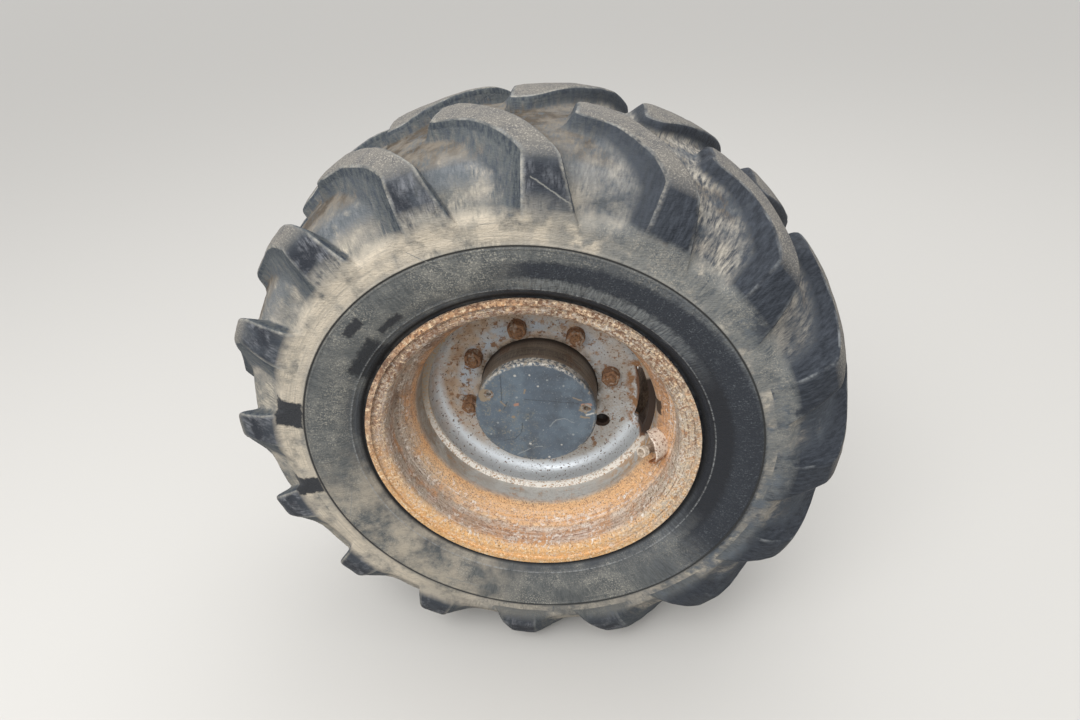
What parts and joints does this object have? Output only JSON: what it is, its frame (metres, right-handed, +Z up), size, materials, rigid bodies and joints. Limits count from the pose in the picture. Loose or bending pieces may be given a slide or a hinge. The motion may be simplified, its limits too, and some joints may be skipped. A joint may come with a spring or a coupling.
{
  "type": "site dumper wheel with hub and stub axle",
  "caption": "Lugged tyre on a rusty drop-centre rim with a dished disc, planetary hub and flanged stub axle.",
  "frame": {"origin": "centre of the stub axle's mounting face", "axes": "+Y along the wheel's axis, inboard; the outer side of the wheel faces -Y; +Z up"},
  "size_m": [1.0718, 0.405, 1.0718],
  "materials": {
    "tyre_rubber": "worn moulded rubber with dried pale mud",
    "rim_paint": "pale paint gone to orange rust",
    "disc_paint": "pale grey enamel with rust round the studs",
    "hub_paint": "oily dark brown paint",
    "seal_rubber": "moulded oil seal",
    "cover_paint": "chipped blue-grey enamel",
    "axle_iron": "cast, machined and oiled",
    "valve_metal": "dull plated steel",
    "valve_cap": "dusty plated cap",
    "guard_steel": "bent strip, pale paint over rust",
    "screw_steel": "worn plated steel",
    "stud_steel": "forged steel, rusted",
    "nut_steel": "forged steel, rusted"
  },
  "bodies": {
    "axle": {"stub_axle": "axle_iron"},
    "wheel": {"tyre": "tyre_rubber", "rim_barrel": "rim_paint", "wheel_disc": "disc_paint", "hub": "hub_paint", "hub_seal": "seal_rubber", "planet_cover": "cover_paint", "valve_stem": "valve_metal", "valve_cap": "valve_cap", "valve_guard": "guard_steel", "cover_screw_left": "screw_steel", "cover_screw_right": "screw_steel", "wheel_stud_1": "stud_steel", "wheel_stud_2": "stud_steel", "wheel_stud_3": "stud_steel", "wheel_stud_4": "stud_steel", "wheel_stud_5": "stud_steel", "wheel_stud_6": "stud_steel", "wheel_stud_7": "stud_steel", "wheel_nut_1": "nut_steel", "wheel_nut_2": "nut_steel", "wheel_nut_3": "nut_steel", "wheel_nut_4": "nut_steel", "wheel_nut_5": "nut_steel", "wheel_nut_6": "nut_steel", "wheel_nut_7": "nut_steel"}
  },
  "joints": [
    {"name": "wheel_spin", "type": "hinge", "parent": "axle", "child": "wheel", "pos_m": [0, -0.1715, 0], "axis": [0, 1, 0], "continuous": true}
  ]
}
